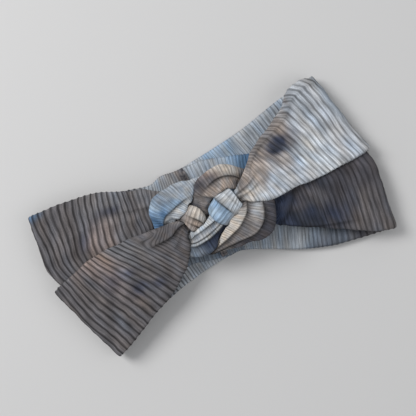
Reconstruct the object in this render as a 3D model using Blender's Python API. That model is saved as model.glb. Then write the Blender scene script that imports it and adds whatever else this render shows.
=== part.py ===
"""Knotted headband: two ribbed-jersey tubes, each looped from its own side, interlocked in a
flat eight-crossing knot and joined by one seam at the centre back.

The band lies flat on a surface, opened a little. X runs along the band, Y across it and +Z up.
The origin is on the underside of the back, straight under the knot's middle.
Each tube is cut into runs: inside the knot at its under-crossings, where the strand above hides
the cut, and beside the folds at the ends of the band.
Run with: blender --background --python part.py
"""

import math

import bpy
from mathutils import Vector

MM = 0.001

# One cloth tube, laid flat, in millimetres. The gap keeps neighbouring solids apart.
TUBE_WIDTH = 61.0
CLOTH = 1.2
FLAT = 2 * CLOTH
GAP = 0.3

# Where the four tube ends are sewn together at the centre back.
SEAM_X = -2.6
ALLOWANCE_WIDTH = 7.0
ALLOWANCE_THICKNESS = 1.2
THREAD = 0.4
STITCH_STEP = 2.6

# Heights of the middles of the layers, from the surface up. The head goes between the inner
# back and the inner front.
HEAD_OPENING = 7.0
OUTER_BACK = FLAT / 2
INNER_BACK = OUTER_BACK + FLAT + GAP
INNER_FRONT = INNER_BACK + FLAT + HEAD_OPENING
OUTER_FRONT = INNER_FRONT + FLAT + GAP

# The knot: heights of an under and an over crossing, and the gathered tube's size there.
UNDER = 15.4
BETWEEN = 19.9
OVER = 24.4
STRAND_WIDTH = 12.0
STRAND_THICKNESS = 5.8

CAP_POINTS = 6
FOLD_STEPS = 8
STEPS = 4

CHARCOAL = (0.085, 0.080, 0.082)
PALE_BLUE = (0.36, 0.42, 0.48)
THREAD_GREY = (0.20, 0.21, 0.23)

# One tube's way through the knot: over, under, over, under, over, under, over, under. The other
# tube takes the same way turned by half a turn. Each row is x, y, height, width, thickness.
INTO_KNOT = [
    (27.6, 5.0, OVER, 15.0, STRAND_THICKNESS),
    (20.0, 2.0, BETWEEN - 1.6, 12.0, STRAND_THICKNESS),
]
CROSSING_RUN = [
    (12.2, -0.6, UNDER, STRAND_WIDTH, STRAND_THICKNESS),
    (2.2, -8.8, BETWEEN + 0.2, 10.6, STRAND_THICKNESS),
    (-7.8, -15.6, OVER, 13.4, STRAND_THICKNESS),
    (-18.4, -15.8, BETWEEN - 0.4, STRAND_WIDTH, STRAND_THICKNESS),
]
SIDE_LOBE = [
    (-26.8, -9.6, UNDER, STRAND_WIDTH, STRAND_THICKNESS),
    (-31.6, -0.8, UNDER, STRAND_WIDTH, STRAND_THICKNESS),
    (-31.6, 8.8, BETWEEN - 1.4, 12.6, STRAND_THICKNESS),
    (-23.6, 17.4, OVER, 16.6, STRAND_THICKNESS),
    (-13.6, 20.4, OVER - 0.6, 16.0, STRAND_THICKNESS),
    (-3.6, 20.4, BETWEEN - 0.6, STRAND_WIDTH, STRAND_THICKNESS),
]
INNER_RUN = [
    (5.0, 15.2, UNDER, STRAND_WIDTH, STRAND_THICKNESS),
    (9.8, 6.8, BETWEEN, 10.6, STRAND_THICKNESS),
    (11.6, -0.8, OVER, 13.6, STRAND_THICKNESS),
    (15.2, -9.0, BETWEEN + 0.2, 10.6, STRAND_THICKNESS),
]
OUT_OF_KNOT = [
    (20.4, -16.2, UNDER, 14.0, STRAND_THICKNESS),
]


def material(name, colour, roughness):
    made = bpy.data.materials.new(name)
    made.use_nodes = True
    shader = made.node_tree.nodes["Principled BSDF"]
    shader.inputs["Base Color"].default_value = (*colour, 1.0)
    shader.inputs["Roughness"].default_value = roughness
    shader.inputs["Metallic"].default_value = 0.0
    return made


def level(heading):
    """The unit vector in the XY plane at `heading` degrees from +X."""
    angle = math.radians(heading)
    return Vector((math.cos(angle), math.sin(angle), 0.0))


def outline(width, thickness):
    """A flattened tube's outline as (across, up) pairs: two flats joined by half-ellipses."""
    round_part = min(0.8 * thickness, width / 2)
    points = []
    for side in (1, -1):
        for i in range(CAP_POINTS + 1):
            angle = math.radians(-90.0 * side + 180.0 * i / CAP_POINTS)
            across = side * (width / 2 - round_part) + round_part * math.cos(angle)
            points.append((across, thickness / 2 * math.sin(angle)))
    return points


def ring_at(centre, along, width, thickness):
    """The outline round `centre`, square to `along`, with its width kept level."""
    across = Vector((along.y, -along.x, 0.0)).normalized()
    up = across.cross(along).normalized()
    return [centre + across * a + up * b for a, b in outline(width, thickness)]


def smoothed(stations):
    """A Catmull-Rom curve through the stations, STEPS spans from each to the next."""
    first = [2 * a - b for a, b in zip(stations[0], stations[1])]
    last = [2 * a - b for a, b in zip(stations[-1], stations[-2])]
    padded = [first, *stations, last]
    found = []
    for i in range(1, len(padded) - 2):
        for k in range(STEPS):
            t = k / STEPS
            found.append(
                [
                    b + 0.5 * t * (c - a + t * (2 * a - 5 * b + 4 * c - d + t * (3 * b - a - 3 * c + d)))
                    for a, b, c, d in zip(*padded[i - 1 : i + 3])
                ]
            )
    found.append(list(stations[-1]))
    return found


def skin(name, rings, look):
    """A closed solid through rings of points that all run the same way round."""
    count = len(rings[0])
    last = (len(rings) - 1) * count
    faces = [tuple(range(count)), tuple(reversed(range(last, last + count)))]
    for low in range(0, last, count):
        for i in range(count):
            j = (i + 1) % count
            faces.append((low + j, low + i, low + count + i, low + count + j))
    mesh = bpy.data.meshes.new(name)
    mesh.from_pydata([point * MM for ring in rings for point in ring], [], faces)
    mesh.materials.append(look)
    mesh.shade_smooth()
    made = bpy.data.objects.new(name, mesh)
    bpy.context.scene.collection.objects.link(made)
    return made


def sweep(runs, look, first_heading=None, last_heading=None):
    """Sweeps one curve through the stations of all `runs`, pairs of a name and its stations, and
    makes one solid of each run. Neighbouring solids face each other GAP apart. A heading turns
    that end of the curve square to the fold or seam it meets."""
    stations = [station for _, rows in runs for station in rows]
    points = smoothed(stations)
    places = [Vector(point[:3]) for point in points]
    directions = [
        (places[min(i + 1, len(places) - 1)] - places[max(i - 1, 0)]).normalized()
        for i in range(len(places))
    ]
    if first_heading is not None:
        directions[0] = level(first_heading)
    if last_heading is not None:
        directions[-1] = level(last_heading)

    def ring(i, shift=0.0):
        along = directions[i]
        return ring_at(places[i] + along * shift, along, *points[i][3:])

    start = 0
    for number, (name, rows) in enumerate(runs):
        final = number == len(runs) - 1
        stop = min(start + STEPS * len(rows), len(points) - 1)
        rings = [ring(start, GAP / 2 if number else 0.0)]
        rings += [ring(i) for i in range(start + 1, stop)]
        rings.append(ring(stop, 0.0 if final else -GAP / 2))
        skin(name, rings, look)
        start = stop


def fold(name, end, heading, low, high, look):
    """The half turn where a leg folds under: `end` is the middle of the band's edge there,
    `heading` the direction it faces, `low` and `high` the heights that it joins."""
    out = level(heading)
    across = Vector((out.y, -out.x, 0.0))
    radius = (high - low) / 2
    centre = Vector((*end, (low + high) / 2)) - out * (radius + FLAT / 2)
    rings = []
    for i in range(FOLD_STEPS + 1):
        angle = math.pi * i / FOLD_STEPS
        radial = out * math.sin(angle) + Vector((0.0, 0.0, math.cos(angle)))
        rings.append(
            [centre + radial * (radius + b) + across * a for a, b in outline(TUBE_WIDTH, FLAT)]
        )
    skin(name, rings, look)


def beside_fold(end, heading, low, high, height):
    """The station where a flat run stops, GAP short of the fold at `end`."""
    place = Vector((*end, 0.0)) - level(heading) * ((high - low) / 2 + FLAT / 2 + GAP)
    return (place.x, place.y, height, TUBE_WIDTH, FLAT)


def half_turned(stations):
    return [(-x, -y, *rest) for x, y, *rest in stations]


def back_run(name, end, heading, low, high, height, middle, look):
    """A back run, from the fold at `end` to the centre seam."""
    side = 1 if end[0] > SEAM_X else -1
    rows = [(x, y, height, width, FLAT) for x, y, width in middle]
    rows = [
        beside_fold(end, heading, low, high, height),
        *rows,
        (SEAM_X + side * GAP / 2, 0.0, height, TUBE_WIDTH, FLAT),
    ]
    sweep([(name, rows)], look, heading + 180.0, 180.0 if side > 0 else 0.0)


def tube(side, knot, outer_leg, inner_leg, look):
    """One cloth tube. Each leg is (name, end, heading, stations from the knot to the end, middle
    of its back run). The outer leg's fold wraps round the inner leg's."""
    outer_name, outer_end, outer_heading, outer_rows, outer_middle = outer_leg
    inner_name, inner_end, inner_heading, inner_rows, inner_middle = inner_leg
    outer = (outer_end, outer_heading, OUTER_BACK, OUTER_FRONT)
    inner = (inner_end, inner_heading, INNER_BACK, INNER_FRONT)
    into, crossing, lobe, inside, out_of = knot
    sweep(
        [
            (f"{side}_{outer_name}_leg", [beside_fold(*outer, OUTER_FRONT), *reversed(outer_rows), *into]),
            (f"{side}_crossing_run", crossing),
            (f"{side}_side_lobe", lobe),
            (f"{side}_inner_run", inside),
            (f"{side}_{inner_name}_leg", [*out_of, *inner_rows, beside_fold(*inner, INNER_FRONT)]),
        ],
        look,
        outer_heading + 180.0,
        inner_heading,
    )
    fold(f"{side}_{outer_name}_fold", *outer, look)
    fold(f"{side}_{inner_name}_fold", *inner, look)
    back_run(f"{side}_{outer_name}_back", *outer, OUTER_BACK, outer_middle, look)
    back_run(f"{side}_{inner_name}_back", *inner, INNER_BACK, inner_middle, look)


def right_tube(look):
    upper = (
        "upper", (107.9, 18.1), 9.6,
        [
            (36.0, 4.6, 22.8, 22.0, 4.6),
            (47.0, 5.8, 18.4, 34.0, 3.0),
            (60.0, 8.0, OUTER_FRONT, 46.0, FLAT),
            (76.0, 12.0, OUTER_FRONT, 54.0, FLAT),
            (90.0, 15.2, OUTER_FRONT, 59.0, FLAT),
        ],
        [(80.0, 13.6, 61.0), (50.0, 8.4, 61.0), (20.0, 3.2, 61.0)],
    )
    lower = (
        "lower", (103.9, -35.4), -9.7,
        [
            (29.0, -19.6, 14.8, 16.0, 4.6),
            (38.0, -20.8, 14.0, 22.0, 3.4),
            (50.0, -22.8, INNER_FRONT, 32.0, FLAT),
            (64.0, -26.0, INNER_FRONT, 44.0, FLAT),
            (80.0, -30.4, INNER_FRONT, 54.0, FLAT),
        ],
        [(82.0, -30.8, 62.0), (54.0, -20.4, 65.0), (31.0, -7.4, 65.0), (12.0, -0.4, 62.0)],
    )
    knot = (INTO_KNOT, CROSSING_RUN, SIDE_LOBE, INNER_RUN, OUT_OF_KNOT)
    tube("right", knot, upper, lower, look)


def left_tube(look):
    lower = (
        "lower", (-108.2, -27.4), 197.5,
        [
            (-36.0, -9.0, 22.6, 25.0, 4.6),
            (-46.0, -13.0, 18.4, 38.0, 3.0),
            (-58.0, -15.6, OUTER_FRONT, 49.0, FLAT),
            (-74.0, -18.4, OUTER_FRONT, 56.0, FLAT),
        ],
        [(-74.0, -17.0, 61.0), (-44.0, -7.4, 61.0), (-20.0, -1.4, 61.0)],
    )
    upper = (
        "upper", (-106.6, 23.5), 169.7,
        [
            (-29.0, 19.4, 14.8, 17.0, 4.6),
            (-37.0, 21.0, 14.0, 26.0, 3.4),
            (-50.0, 22.4, INNER_FRONT, 38.0, FLAT),
            (-66.0, 22.2, INNER_FRONT, 49.0, FLAT),
            (-84.0, 21.4, INNER_FRONT, 57.0, FLAT),
        ],
        [(-76.0, 17.8, 61.0), (-46.0, 10.6, 61.0), (-26.0, 4.4, 61.0), (-12.0, 0.6, 61.0)],
    )
    runs = (INTO_KNOT, CROSSING_RUN, SIDE_LOBE, INNER_RUN, OUT_OF_KNOT)
    tube("left", tuple(half_turned(rows) for rows in runs), lower, upper, look)


def seam_allowance(look):
    """The four tube ends, sewn together and turned to the inside of the loop. Returns its top."""
    bottom = INNER_BACK + FLAT / 2 + GAP
    half = TUBE_WIDTH / 2 - 1.0
    size = (bottom + ALLOWANCE_THICKNESS / 2, ALLOWANCE_WIDTH, ALLOWANCE_THICKNESS)
    rows = [(SEAM_X, y, *size) for y in (-half, 0.0, half)]
    sweep([("back_seam_allowance", rows)], look)
    return bottom + ALLOWANCE_THICKNESS


def seam_thread(allowance_top, look):
    """One overedge thread, zigzagging along the top of the allowance."""
    reach = TUBE_WIDTH / 2 - 3.0
    count = int(2 * reach / STITCH_STEP)
    curve = bpy.data.curves.new("back_seam_thread", "CURVE")
    curve.dimensions = "3D"
    spline = curve.splines.new("POLY")
    spline.points.add(count)
    for i in range(count + 1):
        x = SEAM_X + (1 if i % 2 else -1) * (ALLOWANCE_WIDTH / 2 - 2.2)
        y = -reach + i * STITCH_STEP
        spline.points[i].co = (x * MM, y * MM, (allowance_top + GAP + THREAD / 2) * MM, 1.0)
    curve.bevel_depth = THREAD / 2 * MM
    curve.bevel_resolution = 1
    curve.use_fill_caps = True
    curve.materials.append(look)
    made = bpy.data.objects.new("back_seam_thread", curve)
    bpy.context.scene.collection.objects.link(made)


def main():
    for old in list(bpy.data.objects):
        bpy.data.objects.remove(old)
    charcoal = material("charcoal_rib_jersey", CHARCOAL, 0.9)
    right_tube(material("pale_blue_rib_jersey", PALE_BLUE, 0.9))
    left_tube(charcoal)
    allowance_top = seam_allowance(charcoal)
    seam_thread(allowance_top, material("overedge_thread", THREAD_GREY, 0.7))


main()
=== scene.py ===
"""Looks for the knotted headband: two ribbed, tie-dyed jersey tubes in a flat interlaced knot.

Each tube is one continuous swept mesh. Its rows are rings round the flattened tube, and they
follow the ribs, so every rib is real relief and the dye runs with the cloth. Measures are in
millimetres until a mesh is made.
"""

import math

import bpy
import numpy as np
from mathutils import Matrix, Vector

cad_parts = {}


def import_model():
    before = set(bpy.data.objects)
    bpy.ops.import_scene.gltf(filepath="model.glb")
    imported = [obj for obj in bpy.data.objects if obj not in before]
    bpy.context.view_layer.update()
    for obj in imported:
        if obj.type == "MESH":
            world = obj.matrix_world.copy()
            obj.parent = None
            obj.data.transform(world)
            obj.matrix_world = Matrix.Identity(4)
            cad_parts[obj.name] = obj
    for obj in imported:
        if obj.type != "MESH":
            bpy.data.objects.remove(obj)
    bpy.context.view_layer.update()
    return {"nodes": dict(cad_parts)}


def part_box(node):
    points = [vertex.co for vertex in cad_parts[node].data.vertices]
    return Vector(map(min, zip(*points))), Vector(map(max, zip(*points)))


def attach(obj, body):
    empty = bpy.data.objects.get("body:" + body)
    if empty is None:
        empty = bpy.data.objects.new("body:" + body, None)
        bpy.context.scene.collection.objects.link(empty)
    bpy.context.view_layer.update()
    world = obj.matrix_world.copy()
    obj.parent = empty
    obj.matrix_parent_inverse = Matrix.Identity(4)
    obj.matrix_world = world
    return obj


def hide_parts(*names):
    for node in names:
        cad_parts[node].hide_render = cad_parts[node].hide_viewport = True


MM = 0.001

# The cloth and its grid.
PITCH = 3.8  # from rib to rib where the cloth lies flat
RIB_HEIGHT = 0.66
FOLD_WIDTH, FOLD_THICKNESS = 61.5, 2.5  # at the band's ends
RIB_STEPS = 6  # rings to a rib
TOP_POINTS = 46  # points across the outer side of a tube
UNDER_POINTS = 19  # points across its inner side
FINE_STEPS = 60  # steps from station to station when lengths are measured
LOWEST = 0.05  # no cloth comes nearer to the surface it lies on

# Strands pressing on each other.
STRAND_THICKNESS = 4.0  # a tube thicker than this presses on what it crosses
SOFT_THICKNESS = 2.9  # a tube thicker than this gives way where it is pressed
RING_REACH = 2.5  # how far along the tube a ring of it presses
OWN_STRETCH = 24  # a tube doesn't press on the part of itself nearer than this along it
STRAND_REACH = 12  # nor does a strand whose middle is farther than this past the tube's edge
MOST_PRESSED = 0.25  # the least share of its way out that a pressed point keeps

# A strand narrower than the first comes in all round where it is pressed, and one wider than the
# second is only flattened.
NARROW_STRAND, WIDE_STRAND = 14, 24

# Folds. Their shadows are painted into the cloth's colour, as shares of its brightness.
LAP_RISE, LAP_FADE = 1.4, 3.5  # how soon a lap rises from its crease, and how far it reaches
CREASE_LINE, CREASE_SHADOW = 0.55, 1.6  # half widths of the painted dark line and of the painted shadow beside it
LINE_SHADE, UNDER_SHADE, OVER_SHADE = 0.62, 0.42, 0.16  # painted shade at the line, on the side under and on the side over
SHADE_DEPTH = 2.6  # a fold this deep gets the full painted shade
CREASE_ROUND = 0.5  # how rounded a groove's bottom is
TURN_START, MOST_TURNED = 1.2, 9  # the ribs turn between these distances from a crease
DYE_EDGE = 1.2  # how soon one dye gives way to another at a crease

# Ribs and unevenness.
RIB_SHAPE = 2.6  # higher makes the crests flatter and the furrows narrower
TIGHT_WIDTH, LOOSE_WIDTH = 22, 52  # a tube this narrow or this wide is tight or loose
TIGHT_PITCH, LOOSE_PITCH = 1.7, 3.6  # and so are its ribs
TIGHT_FURROW_SHADE = 0.30  # painted shade: how much darker the furrows are made where the ribs are tight
FURROW_SHADE_START = 0.34  # where a furrow's painted shade starts, from 0 on the crest to 1 in the furrow
SEWN_RIBS = 0.8  # the relief dies away this near to the seam, in ribs
BACK_HEIGHT, FRONT_HEIGHT = 8, 12  # cloth below the first is the back's, above the second the front's
BACK_UNEVEN = 0.25  # the back's share of the front's unevenness
LYING_HEIGHT, LYING_RELIEF = 3.0, 0.35  # cloth lower than this keeps this share of its relief
CONTACT_SHADE = 0.6  # painted shade: how much darker the cloth's colour is made under another strand

# The jersey's fine surface: what the noise's place is multiplied by, and how dark and bright it gets.
WALE_STRETCH, WALE_CONTRAST = (0.95, 0.07, 1.0), (0.56, 1.40)
STITCH_STRETCH, STITCH_CONTRAST = (2.2, 1.3, 1.0), (0.84, 1.14)

# The back seam, and the raw edges pressed to one side of it.
SEAM_X = -2.6
ALLOWANCE, ALLOWANCE_THICKNESS = 4.4, 0.65
ALLOWANCE_MIDDLE = SEAM_X - ALLOWANCE / 2 + 0.3
ALLOWANCE_PITCH = 2.3  # the ribs that run along it
TAILS = (0.8, 3.2)  # how far it runs past its CAD solid, at the near and the far end
TAIL_TAPER, TAIL_DROP = 3, 1.4  # its ends get thinner and lower over this length, by this much
STITCH = 2.1
LOOPER_RADIUS, NEEDLE_RADIUS = 0.20, 0.17

# Dye colours, as seen (sRGB).
DYE = {
    "ice": (206, 211, 216),
    "pale": (190, 194, 200),
    "haze": (167, 174, 182),
    "sky": (150, 172, 194),
    "steel": (92, 124, 158),
    "slate": (122, 132, 144),
    "ink": (58, 66, 86),
    "black": (52, 55, 64),
    "beige": (204, 196, 187),
    "tan": (174, 162, 154),
    "rose": (146, 132, 128),
    "taupe": (130, 125, 124),
    "grey": (116, 115, 118),
    "charcoal": (102, 99, 101),
    "dark": (80, 78, 83),
}

# The stage. A light has its place and its size in metres, and its power in watts.
FLOOR_COLOUR = (0.62, 0.615, 0.61)
SKY_COLOUR, SKY_STRENGTH = (0.95, 0.97, 1, 1), 0.42
LIGHTS = (
    ("key", (-0.55, 0.75, 0.95), 0.6, 12.5),
    ("fill", (0.8, -0.5, 0.9), 0.9, 2.6),
)
CAMERA_PLACE = (-0.0002, 0.0031, 0.660)
CAMERA_TURN = -28  # degrees, so that the band is tilted up to the right as in the photograph


def linear(name):
    """A dye's colour in linear light."""
    c = np.array(DYE[name], float) / 255
    return np.where(c <= 0.04045, c / 12.92, ((c + 0.055) / 1.055) ** 2.4)


def fold(name, end, heading, low, high, reach, across, colours, upward):
    """Stations round the half turn at the end of the band, where a leg folds under."""
    rows = []
    for degrees in (20, 55, 90, 125, 160):
        turn = math.radians(degrees if upward else 180 - degrees)
        out = reach * (math.sin(turn) - 1)
        x = end[0] + out * math.cos(math.radians(heading))
        y = end[1] + out * math.sin(math.radians(heading))
        z = (low + high) / 2 - (high - low) / 2 * math.cos(turn)
        shape = (across, FOLD_WIDTH, FOLD_THICKNESS, PITCH)
        rows.append((name if degrees == 90 else "", x, y, z, *shape, *colours))
    return rows


# Stations along each tube: from the back seam out over the surface it lies on, up round the fold at
# the band's end, in through the knot, out again, round the other fold and back to the seam. Each is
# name, x, y, z, the rib's direction (degrees), width, thickness, rib pitch, and the dyes at the end
# of the rib that its direction points to and at its other end.
RIGHT = [
    ("seam", -2.5, 1.6, 1.4, 90, 67, 1.6, 2.2, "haze", "slate"),
    ("", 8, 3.0, 1.4, 93, 65.5, 2.5, 2.2, "haze", "haze"),
    ("", 25, 5.0, 1.4, 98, 64, 2.6, 2.3, "sky", "slate"),
    ("", 50, 8.4, 1.4, 99.6, 62.5, 2.6, 2.6, "haze", "slate"),
    ("", 78, 13.6, 1.4, 99.6, 63, 2.6, 3.2, "haze", "slate"),
    ("", 97, 16.6, 1.5, 99.6, 62, 2.6, 3.8, "haze", "slate"),
    *fold("UR fold", (106.2, 18.0), 9.6, 1.5, 13.4, 4.5, 99.6, ("haze", "pale"), True),
    ("", 97.7, 17.8, 13.6, 100, 63.6, 2.6, 3.6, "pale", "pale"),
    ("", 88.2, 16.4, 14.6, 103, 61.6, 2.8, 3.6, "haze", "pale"),
    ("UR end", 78.8, 12.2, 15.4, 106, 54.2, 3.0, 3.5, "pale", "ice"),
    ("UR mid", 68, 9.2, 16.0, 109, 48.5, 3.2, 3.3, "tan", "ice"),
    ("", 57, 7.0, 16.9, 111, 43, 3.6, 3.0, "tan", "pale"),
    ("", 47, 5.2, 18.4, 109, 36.5, 4.2, 2.6, "tan", "pale"),
    ("UR in", 38.4, 3.0, 20.6, 103, 30, 4.8, 2.3, "tan", "pale"),
    ("", 32.2, 1.4, 22.4, 98, 23.5, 5.2, 2.0, "tan", "ice"),
    ("UR neck", 27, 0.8, 23.2, 98, 16.5, 5.4, 1.8, "taupe", "beige"),
    ("", 21.8, 0.8, 20.4, 104, 10.4, 5.4, 1.7, "taupe", "taupe"),
    ("UR under", 13, -3.0, 15.8, 112, 12, 5.8, 1.7, "haze", "haze"),
    ("", 5.5, -7.8, 18.0, 108, 14.5, 6.4, 1.7, "ink", "ink"),
    ("Bo in", -2.8, -11.2, 21.6, 101, 17.8, 7.0, 1.7, "ink", "ink"),
    ("Bo", -11, -13.6, 23.4, 92, 18.8, 7.2, 1.7, "ink", "ink"),
    ("Bo out", -19, -13.2, 19.8, 80, 17.5, 6.6, 1.7, "ink", "slate"),
    ("Bo end", -26.4, -8.0, 15.6, 50, 14, 6.2, 1.7, "ink", "slate"),
    ("L in", -30.2, 0.4, 16.2, 10, 13.5, 6.6, 1.7, "steel", "steel"),
    ("L low", -29.8, 7.5, 19.0, -20, 15.6, 7.0, 1.6, "steel", "steel"),
    ("L", -26.2, 13.6, 22.0, -50, 21.4, 7.2, 1.6, "steel", "sky"),
    ("L top", -20.8, 17.2, 23.8, -63, 22.4, 7.2, 1.6, "sky", "slate"),
    ("", -12.0, 18.8, 23.2, -74, 18, 7.0, 1.6, "haze", "haze"),
    ("L out", -4.0, 19.6, 20.6, -86, 12.8, 6.4, 1.6, "haze", "haze"),
    ("", 3.0, 18.6, 17.2, -108, 11.6, 5.8, 1.6, "haze", "pale"),
    ("", 6.6, 15.0, 15.8, -136, 13.5, 5.8, 1.6, "slate", "haze"),
    ("S in", 8.2, 9.6, 18.2, -150, 17, 6.6, 1.8, "slate", "haze"),
    ("", 8.8, 4.0, 22.4, -155, 21.5, 7.0, 2.1, "haze", "ice"),
    ("S", 10.6, -1.8, 24.4, -155, 22, 7.2, 2.1, "haze", "ice"),
    ("S out", 13.4, -8.4, 21.4, -152, 19, 6.6, 1.9, "haze", "ice"),
    ("", 18.5, -14.8, 16.0, -140, 15, 6.0, 1.7, "slate", "slate"),
    ("", 25.5, -18.6, 14.6, -118, 15, 5.2, 1.7, "ink", "ink"),
    ("LR in", 33, -18.8, 14.2, -104, 15.5, 4.4, 2.0, "ink", "black"),
    ("", 42, -20.2, 13.9, -99, 21.5, 3.8, 2.4, "ink", "ink"),
    ("", 52, -22.8, 13.6, -97, 30.5, 3.2, 2.4, "black", "dark"),
    ("LR", 64, -25.4, 13.3, -97, 40.5, 3.0, 2.7, "black", "dark"),
    ("", 76, -28.6, 13.0, -98, 49, 2.8, 3.2, "dark", "dark"),
    ("LR out", 88, -32.0, 12.4, -99.7, 57, 2.7, 3.6, "charcoal", "dark"),
    ("LR end", 97, -34.4, 11.8, -99.7, 60.5, 2.6, 3.8, "charcoal", "dark"),
    *fold("LR fold", (105.0, -36.0), -9.7, 4.1, 11.6, 3.6, -99.7, ("charcoal", "dark"), False),
    ("", 97, -34.4, 4.2, -99.7, 61.5, 2.6, 3.8, "charcoal", "dark"),
    ("LR back", 82, -31.2, 4.1, -103, 62, 2.6, 3.4, "dark", "dark"),
    ("", 66, -25.6, 4.1, -108, 64.5, 2.6, 2.6, "slate", "slate"),
    ("", 50, -18.8, 4.1, -111, 64.5, 2.6, 2.1, "haze", "steel"),
    ("", 33, -9.2, 4.1, -110, 64.5, 2.6, 2.0, "haze", "steel"),
    ("", 18, -2.8, 4.1, -103, 64.5, 2.6, 2.0, "haze", "sky"),
    ("", 8, 0.6, 4.1, -94, 66, 2.5, 2.1, "slate", "haze"),
    ("", -2.5, 1.4, 4.0, -90, 67, 1.6, 2.1, "slate", "haze"),
]
LEFT = [
    ("seam", -2.7, 1.6, 1.4, -90, 67, 1.6, 2.2, "slate", "haze"),
    ("", -12, 0.2, 1.4, -88, 65, 2.5, 2.3, "haze", "haze"),
    ("", -26, -2.0, 1.4, -84, 63, 2.6, 2.5, "haze", "grey"),
    ("", -38, -4.4, 1.4, -78, 62, 2.6, 3.2, "pale", "grey"),
    ("", -50, -8.0, 1.4, -74, 59, 2.6, 3.4, "haze", "grey"),
    ("", -74, -15.6, 1.4, -72.5, 57, 2.6, 3.8, "charcoal", "charcoal"),
    ("", -97, -23.8, 1.5, -72.5, 61.5, 2.6, 3.8, "charcoal", "charcoal"),
    *fold("LL fold", (-106.6, -27.4), 197.5, 1.5, 13.4, 4.5, -72.5, ("charcoal", "charcoal"), True),
    ("", -98, -24.6, 13.6, -72, 61, 2.6, 3.9, "charcoal", "charcoal"),
    ("", -86, -20.4, 14.6, -69, 58.5, 2.8, 4.0, "charcoal", "charcoal"),
    ("LL", -75, -16.6, 15.4, -65, 57, 3.0, 4.0, "charcoal", "rose"),
    ("", -60, -12.6, 16.2, -60, 54.5, 3.2, 3.7, "charcoal", "grey"),
    ("LL mid", -47, -9.0, 17.4, -58, 45, 3.6, 3.1, "charcoal", "grey"),
    ("LL in", -37, -6.2, 19.4, -57, 36, 4.2, 2.6, "charcoal", "charcoal"),
    ("", -29.4, -3.8, 21.4, -58, 25, 4.8, 2.4, "charcoal", "charcoal"),
    ("", -23.8, -0.8, 22.6, -60, 16.5, 5.4, 2.0, "charcoal", "charcoal"),
    ("LL neck", -19.2, -0.2, 21.4, -72, 11, 5.6, 1.7, "charcoal", "taupe"),
    ("", -12.5, 0.6, 16.2, -76, 11, 5.6, 1.7, "taupe", "taupe"),
    ("B", -3.6, 6.6, 19.4, -46, 15.5, 6.2, 1.8, "taupe", "dark"),
    ("T in", 1.8, 12.4, 21.8, -66, 17.5, 6.8, 1.8, "tan", "dark"),
    ("T", 12.0, 16.2, 23.6, -84, 16.8, 7.2, 1.8, "taupe", "rose"),
    ("T out", 20.5, 15.2, 21.6, -100, 16, 6.8, 1.8, "grey", "beige"),
    ("T end", 27.5, 9.6, 16.4, -122, 14.5, 6.2, 1.7, "taupe", "charcoal"),
    ("R in", 31.6, 1.5, 15.8, -158, 15, 6.2, 1.7, "taupe", "charcoal"),
    ("R low", 30.8, -7.2, 18.4, -200, 21.5, 7.0, 1.8, "dark", "dark"),
    ("R", 26.0, -15.4, 22.0, -221, 26, 7.4, 1.9, "dark", "dark"),
    ("R top", 18.6, -20.9, 24.2, -234, 27.2, 7.6, 1.9, "dark", "dark"),
    ("", 7.6, -21.6, 23.0, -244, 17.8, 7.0, 1.8, "dark", "dark"),
    ("R out", -3.9, -21.4, 22.0, -246, 12.2, 6.2, 1.7, "beige", "charcoal"),
    ("", -10.6, -20.4, 19.4, -270, 9.6, 5.4, 1.5, "beige", "beige"),
    ("", -11.4, -14.0, 15.8, -302, 11.0, 5.6, 1.5, "taupe", "charcoal"),
    ("C in", -9.8, -7.4, 18.2, -318, 14, 6.2, 1.7, "beige", "tan"),
    ("", -9.8, -2.2, 22.0, -316, 15, 6.6, 1.9, "beige", "tan"),
    ("C", -12.0, 2.0, 23.8, -315, 15.4, 6.8, 1.9, "beige", "tan"),
    ("C out", -16.2, 7.6, 20.4, -315, 15, 6.4, 1.8, "tan", "taupe"),
    ("", -19.0, 14.2, 16.0, -314, 15, 6.0, 1.7, "taupe", "grey"),
    ("", -25.5, 18.6, 14.6, -298, 17.5, 5.2, 1.8, "grey", "taupe"),
    ("UL in", -33, 20.4, 14.3, -284, 25, 4.4, 2.4, "grey", "charcoal"),
    ("", -42, 21.2, 13.9, -280, 33, 3.8, 2.9, "charcoal", "charcoal"),
    ("", -53, 22.0, 13.6, -283, 41.5, 3.2, 3.5, "grey", "grey"),
    ("UL", -65, 22.6, 13.3, -287, 49, 3.0, 3.9, "grey", "rose"),
    ("", -78, 22.6, 13.0, -287, 55, 2.8, 4.0, "charcoal", "charcoal"),
    ("", -90, 22.8, 12.4, -283, 58.5, 2.7, 3.9, "charcoal", "charcoal"),
    ("UL end", -99.5, 23.0, 11.8, -279, 59, 2.6, 3.8, "charcoal", "charcoal"),
    *fold("UL fold", (-108.0, 22.4), 171.5, 4.1, 11.6, 3.6, -278.5, ("charcoal", "charcoal"), False),
    ("", -99, 21.2, 4.2, -279, 61, 2.6, 3.8, "charcoal", "charcoal"),
    ("", -76, 17.4, 4.1, -280, 61, 2.6, 3.8, "grey", "grey"),
    ("", -48, 9.0, 4.1, -282, 61, 2.6, 3.4, "grey", "grey"),
    ("", -34, 5.0, 4.1, -282, 61, 2.6, 2.6, "haze", "slate"),
    ("", -22, 5.6, 4.1, -276, 63, 2.6, 2.3, "haze", "slate"),
    ("", -12, 3.2, 4.1, -271, 65, 2.5, 2.2, "taupe", "slate"),
    ("", -2.7, 1.6, 4.0, -270, 67, 1.6, 2.2, "dark", "slate"),
]

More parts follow.
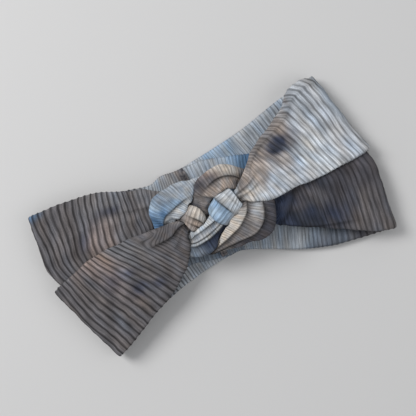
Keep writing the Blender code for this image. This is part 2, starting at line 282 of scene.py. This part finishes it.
# Folds gathered along a strand: from station, to station, the places across that the crease passes
# (-1 to 1), its depth, how far the groove reaches, how high the cloth past it laps over (before it
# when negative), how far the ribs turn there (the same), and the dye past it where that changes.
RIGHT_FOLDS = [
    ("UR fold", "UR neck", (0.80, 0.80, 0.79, 0.77, 0.74, 0.5), 0.8, 3.0, -0.7, 0.8, ""),
    ("UR in", "UR under", (0.1, -0.15, -0.35), 1.8, 2.0, 0.3, 0.0, ""),
    ("UR in", "UR under", (0.42, 0.30, 0.20), 1.8, 1.8, 0.3, 0.0, ""),
    ("UR neck", "L in", (-0.24, -0.22, -0.10), 3.2, 2.6, 0.8, 0.0, "ice"),
    ("UR neck", "L in", (0.0, 0.02, 0.16), 2.6, 1.8, 0.4, 0.0, "pale"),
    ("UR neck", "L in", (0.46, 0.48, 0.6), 3.0, 2.6, 0.4, 0.0, "ice"),
    ("Bo out", "L out", (0.0, -0.2, -0.28, 0.05, 0.34, 0.5, 0.6), 3.4, 2.8, 0.9, 0.4, "ice"),
    ("S in", "S out", (0.10, 0.06, 0.04), 3.0, 3.0, 0.7, 0.0, "sky"),
    ("S in", "S out", (-0.62, -0.55, -0.5), 1.2, 2.0, 0.2, 0.0, ""),
    ("LR in", "LR out", (0.96, 0.95, 0.93, 0.84, 0.70), 1.8, 3.6, 0.6, 0.0, ""),
    ("LR in", "LR", (1.7, 0.87, 0.05, -0.78, -1.6), 2.6, 3.0, 0.9, -1.6, ""),
]
LEFT_FOLDS = [
    ("LL mid", "B", (-0.40, -0.24, -0.06, -0.10, -0.22, -0.3), 3.4, 4.4, 1.3, -1.4, ""),
    ("LL in", "LL neck", (0.35, 0.3), 1.4, 3.0, 0.0, 0.0, ""),
    ("T in", "R in", (-0.12, -0.06, 0.06, 0.10, 0.2), 3.4, 2.8, 0.8, 0.25, "tan"),
    ("B", "T", (-1.9, -0.9, 0.05, 1.0, 1.8), 3.2, 2.8, -0.9, 0.9, "taupe"),
    ("T end", "C in", (-0.2, -0.25, -0.34, -0.56, -0.76, -0.92), 3.0, 2.6, 0.8, 0.0, "taupe"),
    ("T end", "C in", (0.6, 0.64, 0.60, 0.50, 0.24, -0.25, -0.9, -1.2), 3.6, 3.0, 0.9, 0.3, "beige"),
    ("R out", "C out", (-0.60, -0.5, -0.46), 2.8, 2.2, 0.5, 0.0, "tan"),
    ("R out", "C out", (-0.1, 0.0, 0.06), 3.0, 2.6, 0.6, 0.0, "beige"),
    ("C out", "UL", (-0.2, 0.35), 1.6, 4.0, 0.0, 0.0, ""),
    ("UL in", "UL end", (-0.40, -0.1, 0.20, 0.1), 1.0, 7.0, 0.9, 0.0, ""),
]

# Where a folded end is pushed out or in: station, ribs each way, the place across where the push
# starts, the place where it is whole, and millimetres.
RIGHT_PUSHES = [("LR fold", 14, -0.95, -0.4, -3.6), ("UR fold", 10, -0.2, -1.0, 1.2)]
LEFT_PUSHES = [("UL fold", 14, -0.65, -0.2, -4.2), ("UL fold", 10, -0.45, -0.8, 3.0)]

# Stains: station, ribs past it, place across, ribs each way, reach across, dye and strength.
RIGHT_STAINS = [
    ("UR mid", 1.6, 0.50, 3.0, 0.32, "ink", 1.5),
    ("UR mid", 2.4, 0.42, 1.6, 0.16, "black", 0.7),
    ("UR mid", -0.6, 0.22, 1.6, 0.20, "charcoal", 0.7),
    ("UR mid", 5.0, 0.95, 9.0, 0.24, "taupe", 1.4),
    ("UR mid", -1.5, 0.75, 1.8, 0.2, "tan", 0.7),
    ("UR mid", 1.0, -0.2, 1.6, 0.3, "sky", 0.35),
    ("UR in", -3.0, -0.4, 1.5, 0.35, "sky", 0.4),
    ("L low", 0.0, -0.75, 2.2, 0.5, "steel", 0.7),
    ("Bo", 2.0, -0.8, 3.0, 0.3, "slate", 0.5),
    ("LR", 2.5, -0.5, 2.4, 0.4, "black", 0.8),
    ("LR", -2.0, 0.35, 1.6, 0.22, "ink", 0.5),
    ("LR", 2.6, 0.5, 2.2, 0.26, "ink", 0.8),
    ("LR", 0.5, -0.1, 2.0, 0.3, "charcoal", 0.7),
]
LEFT_STAINS = [
    ("LL", 0.0, -0.25, 2.0, 0.2, "ink", 0.5),
    ("LL", 1.5, 0.3, 1.3, 0.16, "ink", 0.75),
    ("LL", 4.5, 0.55, 1.2, 0.16, "ink", 0.7),
    ("LL", 3.0, -0.15, 1.2, 0.14, "ink", 0.6),
    ("LL", -1.0, -0.9, 2.5, 0.3, "rose", 0.6),
    ("UL", -1.5, 0.4, 2.2, 0.14, "ink", 0.7),
    ("UL", 3.5, -0.1, 1.0, 0.2, "ink", 0.7),
    ("UL", 0.5, -0.1, 3.0, 0.3, "rose", 0.6),
    ("UL fold", -1.0, 0.97, 1.6, 0.10, "steel", 0.7),
    ("R low", 3.0, 0.05, 4.0, 0.30, "ice", 0.75),
    ("R low", 0.5, 0.80, 6.0, 0.40, "taupe", 1.2),
    ("T", -1.5, -0.3, 3.0, 0.6, "charcoal", 0.8),
    ("T out", 1.8, -0.4, 2.0, 0.6, "beige", 0.7),
    ("T out", 2.5, 0.6, 2.2, 0.4, "dark", 0.7),
    ("T out", 7.0, -0.5, 2.4, 0.6, "dark", 0.9),
]


def eased(x):
    """From 0 to 1 as x goes from 0 to 1, slow at both ends."""
    x = np.clip(x, 0, 1)
    return x * x * (3 - 2 * x)


def unit(v):
    return v / np.linalg.norm(v, axis=-1, keepdims=True)


def waves(x, y, seed):
    """Smooth seeded noise between about -1 and 1, its features about 1 unit wide."""
    rng = np.random.default_rng(seed)
    total = np.zeros(np.broadcast(x, y).shape)
    count = 14
    for _ in range(count):
        angle, size, phase = rng.uniform(0, 2 * math.pi), rng.uniform(1.6, 4.2), rng.uniform(0, 6.3)
        total += np.sin(size * (x * math.cos(angle) + y * math.sin(angle)) + phase)
    return total / math.sqrt(count)


def spline(rows, t):
    """Catmull-Rom through the rows of an array, at the positions t."""
    padded = np.vstack([2 * rows[0] - rows[1], rows, 2 * rows[-1] - rows[-2]])
    i = np.clip(t.astype(int), 0, len(rows) - 2)
    u = (t - i)[:, None]
    a, b, c, d = (padded[i + k] for k in range(4))
    return b + 0.5 * u * (c - a + u * (2 * a - 5 * b + 4 * c - d + u * (3 * b - a - 3 * c + d)))


class Tube:
    """A tube's rings: where each is, how it is turned, how wide it is, and how far along the tube
    it is, in stations (t), in ribs (rib) and in millimetres (length)."""

    def __init__(self, stations, seed, furrow_shade):
        self.seed, self.furrow_shade = seed, furrow_shade
        self.names = {row[0]: i for i, row in enumerate(stations) if row[0]}
        self.dyes = np.array([[linear(row[8]), linear(row[9])] for row in stations])
        numbers = np.array([row[1:8] for row in stations], float)
        last = len(stations) - 1
        self.fine = np.linspace(0, last, FINE_STEPS * last + 1)
        values = spline(numbers, self.fine)
        step = np.linalg.norm(np.diff(values[:, :3], axis=0), axis=1)
        length = np.concatenate([[0], np.cumsum(step)])
        self.fine_ribs = np.concatenate([[0], np.cumsum(step / values[1:, 6])])
        ribs = self.fine_ribs[-1]
        self.rib = np.linspace(0, ribs, int(ribs * RIB_STEPS) + 1)
        self.t = np.interp(self.rib, self.fine_ribs, self.fine)
        self.length = np.interp(self.t, self.fine, length)
        v = spline(numbers, self.t)
        self.centre, angle = v[:, :3], np.radians(v[:, 3])
        self.width, self.thick, self.pitch = v[:, 4], v[:, 5], v[:, 6]
        self.across = np.stack([np.cos(angle), np.sin(angle), 0 * angle], axis=1)
        self.along = unit(np.gradient(self.centre, axis=0))
        self.inner = unit(np.cross(self.along, self.across))
        self.spread = eased((self.width - NARROW_STRAND) / (WIDE_STRAND - NARROW_STRAND))
        self.span, self.side, self.bulge = self.section()
        self.mm_across = self.span * self.width[:, None] / 2

    def section(self):
        """The flattened tube's outline at each ring: across and out, from -1 to 1, and which side
        of the tube each point is on, -1 outside and 1 inside."""
        top = np.linspace(1, -1, TOP_POINTS + 1)
        low = np.linspace(-1, 1, UNDER_POINTS + 1)[1:-1]
        even = np.concatenate([top, low])
        side = np.concatenate([-np.ones(len(top)), np.ones(len(low))])
        span = 0.45 * even + 0.55 * np.sin(even * math.pi / 2)  # closer together at the edges
        squareness = np.clip(self.width / self.thick, 2, 24)[:, None]
        bulge = side * np.sqrt(np.clip(1 - np.abs(span) ** squareness, 0, 1))
        return span, side, bulge

    def rings(self, keep=1.0):
        """Each ring's points, each at this share of its way out from the middle."""
        sideways = 1 - (1 - keep) * (1 - self.spread)[:, None]
        wide = (self.mm_across * sideways)[..., None] * self.across[:, None, :]
        deep = (self.bulge * self.thick[:, None] / 2 * keep)[..., None] * self.inner[:, None, :]
        return self.centre[:, None, :] + wide + deep

    def rib_at(self, station):
        """How many ribs from the seam a named station is."""
        return np.interp(self.names[station], self.fine, self.fine_ribs)

    def uneven(self, ribs, mm, draw):
        """Noise number draw over the cloth, its features this many ribs long and millimetres wide."""
        return waves(self.rib[:, None] / ribs, self.mm_across / mm, self.seed + draw)

    def mottle(self, ribs, across, draw):
        """Noise number draw over the cloth, its features this many ribs long, and this many to half
        the tube's width."""
        return waves(self.rib[:, None] / ribs, self.span * across, self.seed + draw)


class Strands:
    """Rings of the knot's strands, as what presses on the cloth that crosses them."""

    def __init__(self, tubes):
        chosen = [np.where(tube.thick > STRAND_THICKNESS)[0][:: RIB_STEPS // 2] for tube in tubes]
        pairs = list(zip(tubes, chosen))
        self.centre = np.concatenate([tube.centre[i] for tube, i in pairs])
        self.across = np.concatenate([tube.across[i] for tube, i in pairs])
        self.inner = np.concatenate([tube.inner[i] for tube, i in pairs])
        self.along = np.concatenate([tube.along[i] for tube, i in pairs])
        self.half_width = np.concatenate([tube.width[i] for tube, i in pairs]) / 2
        self.half_thick = np.concatenate([tube.thick[i] for tube, i in pairs]) / 2
        self.length = np.concatenate([tube.length[i] for tube, i in pairs])
        self.owner = np.concatenate([np.full(len(i), n) for n, i in enumerate(chosen)])

    def depth(self, points, k):
        """Each point's distance from the middle of strand ring k, 1 at its outline."""
        away = points - self.centre[k]
        a = (away * self.across[k]).sum(-1) / self.half_width[k]
        b = (away * self.inner[k]).sum(-1) / self.half_thick[k]
        c = (away * self.along[k]).sum(-1)
        return np.sqrt(a * a + b * b) + np.maximum(0, np.abs(c) - RING_REACH) * 0.4

    def beside(self, tube, number, i):
        """The strand rings that could press on a tube's ring i."""
        other = (self.owner != number) | (np.abs(self.length - tube.length[i]) > OWN_STRETCH)
        away = np.linalg.norm(self.centre - tube.centre[i], axis=1)
        return np.where(other & (away < tube.width[i] / 2 + STRAND_REACH))[0]


def pressed(tube, i, points, strands, near):
    """The share of its way out that each point of ring i keeps. Two strands meet halfway between
    their middles, and that place is found by halving."""
    keep = np.ones(len(points))
    inside = np.stack([strands.depth(points, k) for k in near])
    hit = np.where(inside.min(0) < 1)[0]
    if not len(hit):
        return keep
    k, p, c = near[inside.argmin(0)][hit], points[hit], tube.centre[i]
    sideways = ((p - c) @ tube.across[i])[:, None] * tube.across[i]
    c = c + sideways * tube.spread[i]
    low, high = np.zeros(len(hit)), np.ones(len(hit))
    for _ in range(9):
        middle = (low + high) / 2
        free = strands.depth(c + (p - c) * middle[:, None], k) > middle
        low, high = np.where(free, middle, low), np.where(free, high, middle)
    keep[hit] = np.maximum(low - 0.02, MOST_PRESSED)
    return keep


def contact(tubes):
    """For each tube, the share of its way out that each point keeps under the other strands."""
    strands, found = Strands(tubes), []
    for number, tube in enumerate(tubes):
        rings = tube.rings()
        keep = np.ones(rings.shape[:2])
        for i in np.where(tube.thick > SOFT_THICKNESS)[0]:
            near = strands.beside(tube, number, i)
            if len(near):
                keep[i] = pressed(tube, i, rings[i], strands, near)
        for _ in range(4):  # softened round the rings and along the tube
            keep = (keep + np.roll(keep, 1, 1) + np.roll(keep, -1, 1)) / 3
            keep[1:-1] = (keep[:-2] + keep[1:-1] + keep[2:]) / 3
        found.append(keep)
    return found


def gathered(tube, folds):
    """The folds along the strands: their relief in millimetres, the shade painted along their
    creases, how far the ribs move there, and where each fold's own dye shows."""
    shape = (len(tube.t), len(tube.span))
    relief, shade, turned, layers = np.zeros(shape), np.ones(shape), np.zeros(shape), []
    outside = (tube.side < 0)[None, :]
    narrow = np.maximum(CREASE_LINE, 0.8 * tube.width[:, None] / TOP_POINTS)  # what the grid can show
    for start, end, places, deep, reach, lap, turn, dye in folds:
        t0, t1 = tube.names[start], tube.names[end]
        u = np.clip((tube.t - t0) / (t1 - t0), 0, 1)
        fade = eased(np.minimum(u, 1 - u) * 4)[:, None] * outside
        line = np.interp(u, np.linspace(0, 1, len(places)), places)
        line = line + 0.04 * waves(tube.rib / 6, 0, tube.seed + t0)
        gap = (tube.span[None, :] - line[:, None]) * tube.width[:, None] / 2
        groove = np.clip(1 - np.hypot(gap, CREASE_ROUND) / reach, 0, 1)
        rise = eased(gap * np.sign(lap) / LAP_RISE + 0.3)
        over = np.abs(lap) * rise * np.exp(-np.abs(gap) / LAP_FADE)
        relief += fade * (over - deep * (1 - np.sqrt(1 - groove**2)))
        # Painted shade: a dark line along the crease and a shadow beside it, darker on the side that
        # lies under.
        beside = np.where(gap * np.sign(lap) < 0, UNDER_SHADE, OVER_SHADE)
        dark = LINE_SHADE * np.exp(-((gap / narrow) ** 2)) + beside * np.exp(-np.abs(gap) / CREASE_SHADOW)
        shade *= 1 - fade * min(1.0, (deep / SHADE_DEPTH) ** 1.5) * dark
        if turn:
            away = np.clip(gap * np.sign(turn), 0, MOST_TURNED)
            turned -= fade * np.abs(turn) * away * away / (away + TURN_START) / tube.pitch[:, None]
        if dye:
            layers.append((linear(dye), fade * eased(gap / DYE_EDGE + 0.5)))
    for _ in range(8):  # the grid's steps along a crease smoothed away
        relief[1:-1] = (relief[:-2] + 2 * relief[1:-1] + relief[2:]) / 4
        shade[1:-1] = (shade[:-2] + 2 * shade[1:-1] + shade[2:]) / 4
    return relief, shade, turned, layers


def dyed(tube, stains, layers):
    """The cloth's colour at each point."""
    span = tube.span[None, :]
    # Between stations and between a rib's two ends, the dyes run into each other unevenly.
    t = np.clip(tube.t[:, None] + 0.35 * tube.mottle(ribs=5, across=1.6, draw=5), 0, len(tube.dyes) - 1)
    i = np.clip(t.astype(int), 0, len(tube.dyes) - 2)
    u = (t - i)[..., None, None]
    pair = tube.dyes[i] * (1 - u) + tube.dyes[i + 1] * u
    share = eased((span + 0.22 * tube.mottle(ribs=4, across=2, draw=9)) * 0.9 + 0.5)[..., None]
    colour = pair[..., 0, :] * share + pair[..., 1, :] * (1 - share)
    for dye, amount in layers:
        colour += (dye - colour) * amount[..., None]
    ragged = (1 + 0.35 * tube.mottle(ribs=1 / 1.3, across=3, draw=17)).clip(0.4, 2)
    for station, past, place, ribs, reach, dye, strength in stains:
        x = (tube.rib[:, None] - tube.rib_at(station) - past) / ribs
        y = (span - place) / reach
        amount = np.minimum(strength * np.exp(-(x * x + y * y) * ragged), 1)
        colour += (linear(dye) - colour) * amount[..., None]
    # The cloth is cloudy, and warmer and cooler in places.
    colour *= 1 + 0.13 * tube.mottle(ribs=2.2, across=4, draw=21)[..., None]
    warm_to_cool = np.array([1.0, 0.1, -0.9])
    colour *= 1 + 0.045 * tube.mottle(ribs=1.4, across=2.5, draw=25)[..., None] * warm_to_cool
    return colour.clip(0.002, 0.9)


def normals_of(grid):
    along = np.gradient(grid, axis=0)
    round_ = np.roll(grid, -1, axis=1) - np.roll(grid, 1, axis=1)
    return unit(np.cross(round_, along))


def pushed(tube, grid, pushes):
    """The rings with the band's folded ends pushed out or in."""
    outward = np.stack([tube.across[:, 1], -tube.across[:, 0], 0 * tube.t], -1)[:, None, :]
    for station, ribs, start, whole, mm in pushes:
        near = np.exp(-(((tube.rib - tube.rib_at(station)) / ribs) ** 2))[:, None]
        share = eased((tube.span[None, :] - start) / (whole - start))
        grid = grid + outward * (mm * near * share)[..., None]
    return grid


def relief_of(tube, rib, loose):
    """How far the surface stands out from the flattened tube: its unevenness and its ribs."""
    sewn = np.clip(np.minimum(tube.rib, tube.rib[-1] - tube.rib) / SEWN_RIBS, 0, 1)[:, None]
    uneven = 0.55 * tube.uneven(ribs=5, mm=11, draw=3) + 0.25 * tube.uneven(ribs=2.4, mm=5, draw=4)
    front = np.clip((tube.centre[:, 2] - BACK_HEIGHT) / (FRONT_HEIGHT - BACK_HEIGHT), 0, 1)[:, None]
    crest = 0.5 - np.abs((rib % 1.0) * 2 - 1) ** RIB_SHAPE
    height = RIB_HEIGHT * (tube.pitch / PITCH)[:, None]
    # The ribs of a tight tube are lower round its edges.
    edge = 1 - 0.55 * eased((np.abs(tube.span)[None, :] - 0.7) / 0.3) * (1 - loose)
    uneven = uneven * (BACK_UNEVEN + (1 - BACK_UNEVEN) * front)
    return uneven * sewn + height * crest * sewn * edge


def build(name, tube, folds, stains, pushes, keep, look):
    """A tube's mesh. The material reads its dye with the painted crease and contact shade in it, its
    ribs and how much shade to paint in its furrows at each point.
    """
    loose = np.clip((tube.width - TIGHT_WIDTH) / (LOOSE_WIDTH - TIGHT_WIDTH), 0, 1)[:, None]
    folded, shade, turned, layers = gathered(tube, folds)
    # Ribs wander a little, above all where the cloth is loose.
    rib = tube.rib[:, None] + 0.30 * tube.uneven(ribs=9, mm=26, draw=1) * loose + turned
    rib = rib + 0.03 * tube.uneven(ribs=1, mm=4, draw=2)
    grid = pushed(tube, tube.rings(keep), pushes)
    lying = np.where(grid[..., 2] < LYING_HEIGHT, LYING_RELIEF, 1.0)
    relief = (folded + relief_of(tube, rib, loose)) * lying
    grid = grid + normals_of(grid) * relief[..., None]
    grid[..., 2] = grid[..., 2].clip(LOWEST)
    made = skinned(name, grid, look)
    # Painted shade: darker where other strands press on the cloth, and along the creases.
    contact_shade = 1 - CONTACT_SHADE * (1 - keep) ** 0.8
    colour = dyed(tube, stains, layers) * (shade * contact_shade)[..., None]
    # How much shade is painted in the furrows: less where the ribs are tight.
    wide = eased((tube.pitch - TIGHT_PITCH) / (LOOSE_PITCH - TIGHT_PITCH))[:, None]
    furrow_shade = np.broadcast_to(TIGHT_FURROW_SHADE + (tube.furrow_shade - TIGHT_FURROW_SHADE) * wide, rib.shape)
    cloth = np.stack([rib * PITCH, tube.mm_across, np.full(rib.shape, float(tube.seed))], -1)
    paint(made.data, colour, rib, furrow_shade, cloth)
    return made


def skinned(name, rings, look):
    """A closed mesh through rings of points (rings, points, 3), in millimetres."""
    rows, columns = rings.shape[:2]
    i = np.arange(rows - 1)[:, None] * columns
    j = np.arange(columns)[None, :]
    k = (j + 1) % columns
    quads = np.stack([i + j, i + columns + j, i + columns + k, i + k], axis=-1).reshape(-1, 4)
    faces = [tuple(q) for q in quads.tolist()]
    faces.append(tuple(range(columns)))
    faces.append(tuple(reversed(range((rows - 1) * columns, rows * columns))))
    mesh = bpy.data.meshes.new(name)
    mesh.from_pydata((rings.reshape(-1, 3) * MM).tolist(), [], faces)
    mesh.shade_smooth()
    mesh.materials.append(look)
    made = bpy.data.objects.new(name, mesh)
    bpy.context.scene.collection.objects.link(made)
    return made


def paint(mesh, colour, rib, furrow_shade, cloth):
    """The attributes that the jersey material reads."""
    flat = np.concatenate([colour, np.ones((*colour.shape[:-1], 1))], axis=-1)
    # For a tube, the dye colour already holds the painted crease and contact shade.
    mesh.color_attributes.new("dye", "FLOAT_COLOR", "POINT").data.foreach_set("color", flat.ravel())
    mesh.attributes.new("rib", "FLOAT", "POINT").data.foreach_set("value", rib.ravel())
    mesh.attributes.new("furrow_shade", "FLOAT", "POINT").data.foreach_set("value", furrow_shade.ravel())
    mesh.attributes.new("cloth", "FLOAT_VECTOR", "POINT").data.foreach_set("vector", cloth.ravel())


def allowance_box():
    """Two corners of the CAD model's seam allowance, in millimetres."""
    return [np.array(corner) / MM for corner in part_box("back_seam_allowance")]


def seam_allowance(look):
    """The two cloths' raw edges, pressed flat over the back seam, their ribs along it."""
    low, high = allowance_box()
    y = np.linspace(low[1] - TAILS[0], high[1] + TAILS[1], 150)[:, None]
    turn = np.linspace(0, 2 * math.pi, 32, endpoint=False)[None, :]
    c, w = np.cos(turn), np.sin(turn)
    across = ALLOWANCE / 2 * np.sign(c) * np.abs(c) ** 0.7
    out = ALLOWANCE_THICKNESS * np.sign(w) * np.abs(w) ** 0.35
    cord = 0.15 * np.cos(across * 2 * math.pi / ALLOWANCE_PITCH) * (np.abs(w) > 0.3)
    layers = 0.25 * np.exp(-((w / 0.25) ** 2)) * np.sign(c)  # the two cloths part at the raw edges
    x = ALLOWANCE_MIDDLE + 0.35 * waves(y / 9, 0, 71) + across - layers
    tail = eased(np.minimum(y - y[0], y[-1] - y) / TAIL_TAPER)
    z = low[2] - 0.9 + TAIL_DROP * tail + out * (0.4 + 0.6 * tail) + cord * np.sign(w)
    z = z + 0.12 * waves(y / 4, across / 3, 73)
    made = skinned("seam_allowance", np.stack([x, np.broadcast_to(y, x.shape), z], -1), look)
    share = np.clip(0.5 + 0.5 * waves(y / 8, across / 6, 75), 0, 1)[..., None]
    colour = linear("charcoal") * share + linear("taupe") * (1 - share)
    rib = np.broadcast_to(across / ALLOWANCE_PITCH, x.shape)
    cloth = np.stack([np.broadcast_to(across, x.shape), np.broadcast_to(y, x.shape), 0 * x], -1)
    # Its furrows get painted shade at half strength.
    paint(made.data, colour, rib, np.full(x.shape, 0.5), cloth)
    return made


def thread(name, path, radius, look):
    """A six-sided thread along a path of points."""
    path, sides = np.array(path), 6
    end = len(path) - 1.001  # just inside the path
    fine = spline(path, np.linspace(0, end, 4 * len(path)))
    along = unit(np.gradient(fine, axis=0))
    side = unit(np.cross(along, [0.0, 1.0, 0.02]) + np.array([0.0, 0.0, 1e-6]))
    other = np.cross(along, side)
    turn = np.linspace(0, 2 * math.pi, sides, endpoint=False)[None, :, None]
    ring = np.cos(turn) * side[:, None] + np.sin(turn) * other[:, None]
    return skinned(name, fine[:, None, :] + radius * ring, look)


def overlock(look):
    """The overlock: a looper thread round the raw edges and a needle line along the seam."""
    low, high = allowance_box()
    x, edge = ALLOWANCE_MIDDLE, ALLOWANCE_MIDDLE - ALLOWANCE / 2
    looper, needle = [], []
    for k, y in enumerate(np.arange(low[1] + 0.4, high[1] + 1.2, STITCH)):
        drift = 0.12 * math.sin(7.3 * k)
        from_end = min(y - low[1] + TAILS[0], high[1] + TAILS[1] - y)
        dip = TAIL_DROP * (1 - float(eased(from_end / TAIL_TAPER)))
        top, bottom = low[2] + 1.35 - dip, low[2] - 0.2 - dip
        looper += [
            (x + 0.9, y, top + 0.10),
            (x - 0.8, y + 0.35 + drift, top + 0.18),
            (edge - 0.10, y + 0.7, top - 0.25),
            (edge - 0.25, y + 0.95, bottom + 0.3),
            (edge - 0.05, y + 1.2, top - 0.2),
            (x - 0.8, y + 1.55 - drift, top + 0.22),
        ]
        needle += [
            (x + 1.0, y, top - 0.35),
            (x + 1.05, y + 0.5, top + 0.16),
            (x + 1.0, y + 1.6, top + 0.16),
        ]
    return [
        thread("overlock_looper", looper, LOOPER_RADIUS, look),
        thread("overlock_needle", needle, NEEDLE_RADIUS, look),
    ]


def node(tree, kind, inputs=None, **settings):
    made = tree.nodes.new(kind)
    for key, value in settings.items():
        setattr(made, key, value)
    for key, value in (inputs or {}).items():
        if isinstance(value, bpy.types.NodeSocket):
            tree.links.new(value, made.inputs[key])
        else:
            made.inputs[key].default_value = value
    return made


def math_node(tree, operation, *values):
    return node(tree, "ShaderNodeMath", dict(enumerate(values)), operation=operation).outputs[0]


def attribute(tree, name, output="Fac"):
    return node(tree, "ShaderNodeAttribute", attribute_name=name).outputs[output]


def noise(tree, place, stretch, detail, roughness):
    """Noise over the cloth, whose place in millimetres is multiplied by stretch."""
    moved = node(tree, "ShaderNodeMapping", {"Vector": place, "Scale": stretch}).outputs[0]
    inputs = {"Vector": moved, "Scale": 1.0, "Detail": detail, "Roughness": roughness}
    return node(tree, "ShaderNodeTexNoise", inputs).outputs["Fac"]


def spread_out(tree, value, low, high):
    """Noise, which is mostly between 0.3 and 0.7, brought between low and high."""
    inputs = {"Value": value, "From Min": 0.3, "From Max": 0.7, "To Min": low, "To Max": high}
    return node(tree, "ShaderNodeMapRange", inputs).outputs["Result"]


def furrows(tree):
    """How much shade is painted into the furrows between the ribs, from 0 on a rib's crest."""
    share = math_node(tree, "FRACT", attribute(tree, "rib"))
    off = math_node(tree, "SUBTRACT", math_node(tree, "MULTIPLY", share, 2.0), 1.0)
    inputs = {"Value": math_node(tree, "ABSOLUTE", off), "From Min": FURROW_SHADE_START, "From Max": 1.0}
    ramp = node(tree, "ShaderNodeMapRange", inputs, interpolation_type="SMOOTHSTEP")
    return math_node(tree, "MULTIPLY", ramp.outputs["Result"], attribute(tree, "furrow_shade"))


def jersey():
    """Wide-rib jersey: dyed colour with painted shade in it and in the furrows, and the fine wales along
    each rib.
    """
    look = plain("tie_dyed_rib_jersey", (0.8, 0.8, 0.8), 0.88)
    tree = look.node_tree
    shader = tree.nodes["Principled BSDF"]
    shader.inputs["Sheen Weight"].default_value = 0.06
    shader.inputs["Sheen Roughness"].default_value = 0.5
    shader.inputs["Specular IOR Level"].default_value = 0.15
    cloth = attribute(tree, "cloth", "Vector")
    wale = noise(tree, cloth, WALE_STRETCH, detail=3.0, roughness=0.6)
    stitch = noise(tree, cloth, STITCH_STRETCH, detail=2.0, roughness=0.5)
    lights = (spread_out(tree, wale, *WALE_CONTRAST), spread_out(tree, stitch, *STITCH_CONTRAST))
    bright = math_node(tree, "MULTIPLY", *lights)
    # Painted shade: the colour is made darker in the furrows between the ribs.
    shade = math_node(tree, "MULTIPLY", bright, math_node(tree, "SUBTRACT", 1.0, furrows(tree)))
    # The dye attribute holds painted crease and contact shade as well as the dye.
    dye = {0: attribute(tree, "dye", "Color"), "Scale": shade}
    colour = node(tree, "ShaderNodeVectorMath", dye, operation="SCALE").outputs[0]
    tree.links.new(colour, shader.inputs["Base Color"])
    raised = (math_node(tree, "MULTIPLY", wale, 0.6), math_node(tree, "MULTIPLY", stitch, 0.5))
    height = math_node(tree, "ADD", *raised)
    bump = node(tree, "ShaderNodeBump", {"Height": height, "Strength": 0.5, "Distance": 0.0004})
    tree.links.new(bump.outputs[0], shader.inputs["Normal"])
    return look


def plain(name, colour, roughness):
    look = bpy.data.materials.new(name)
    look.use_nodes = True
    shader = look.node_tree.nodes["Principled BSDF"]
    shader.inputs["Base Color"].default_value = (*colour, 1)
    shader.inputs["Roughness"].default_value = roughness
    return look


def thread_look():
    """Dark grey thread, its fibres a little lighter and darker."""
    look = plain("overedge_thread", (0.20, 0.21, 0.24), 0.6)
    tree = look.node_tree
    place = node(tree, "ShaderNodeTexCoord").outputs["Object"]
    fibres = node(tree, "ShaderNodeTexNoise", {"Vector": place, "Scale": 2500.0, "Detail": 2.0})
    greys = {"Factor": fibres.outputs["Fac"], "A": (0.05, 0.05, 0.06, 1), "B": (0.13, 0.13, 0.15, 1)}
    ramp = node(tree, "ShaderNodeMix", greys, data_type="RGBA")
    tree.links.new(ramp.outputs["Result"], tree.nodes["Principled BSDF"].inputs["Base Color"])
    return look


def aim(thing, target):
    away = Vector(target) - thing.location
    thing.rotation_euler = away.to_track_quat("-Z", "Y").to_euler()


def stage():
    """A plain floor and soft studio light."""
    bpy.ops.mesh.primitive_plane_add(size=6, location=(0, 0, -0.0004))
    floor = bpy.context.object
    floor.name = "floor"
    floor.data.materials.append(plain("floor", FLOOR_COLOUR, 0.9))
    world = bpy.data.worlds.new("studio")
    world.use_nodes = True
    sky = world.node_tree.nodes["Background"]
    sky.inputs["Color"].default_value = SKY_COLOUR
    sky.inputs["Strength"].default_value = SKY_STRENGTH
    bpy.context.scene.world = world
    for name, place, size, watts in LIGHTS:
        data = bpy.data.lights.new(name, "AREA")
        data.size = size
        data.energy = watts
        light = bpy.data.objects.new(name, data)
        light.location = place
        bpy.context.scene.collection.objects.link(light)
        aim(light, (0, 0, 0.01))


def camera():
    """Straight above, as in the photograph."""
    data = bpy.data.cameras.new("camera")
    data.lens = 85
    data.sensor_width = 36
    data.clip_start = 0.01
    made = bpy.data.objects.new("camera", data)
    made.location = CAMERA_PLACE
    made.rotation_euler = (0, 0, math.radians(CAMERA_TURN))
    bpy.context.scene.collection.objects.link(made)
    bpy.context.scene.camera = made
    bpy.context.scene.view_settings.view_transform = "Standard"


def main():
    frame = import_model()
    tubes = [Tube(RIGHT, seed=11, furrow_shade=0.52), Tube(LEFT, seed=47, furrow_shade=0.74)]
    keeps = contact(tubes)
    look = jersey()
    right = build("right_tube", tubes[0], RIGHT_FOLDS, RIGHT_STAINS, RIGHT_PUSHES, keeps[0], look)
    left = build("left_tube", tubes[1], LEFT_FOLDS, LEFT_STAINS, LEFT_PUSHES, keeps[1], look)
    for piece, side in ((right, "right"), (left, "left")):
        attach(piece, "root")
        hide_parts(*[n for n in frame["nodes"] if n.startswith(side)])
    allowance = seam_allowance(look)
    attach(allowance, "root")
    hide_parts("back_seam_allowance")
    threads = overlock(thread_look())
    for piece in threads:
        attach(piece, "root")
        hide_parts("back_seam_thread")
    stage()
    camera()


main()
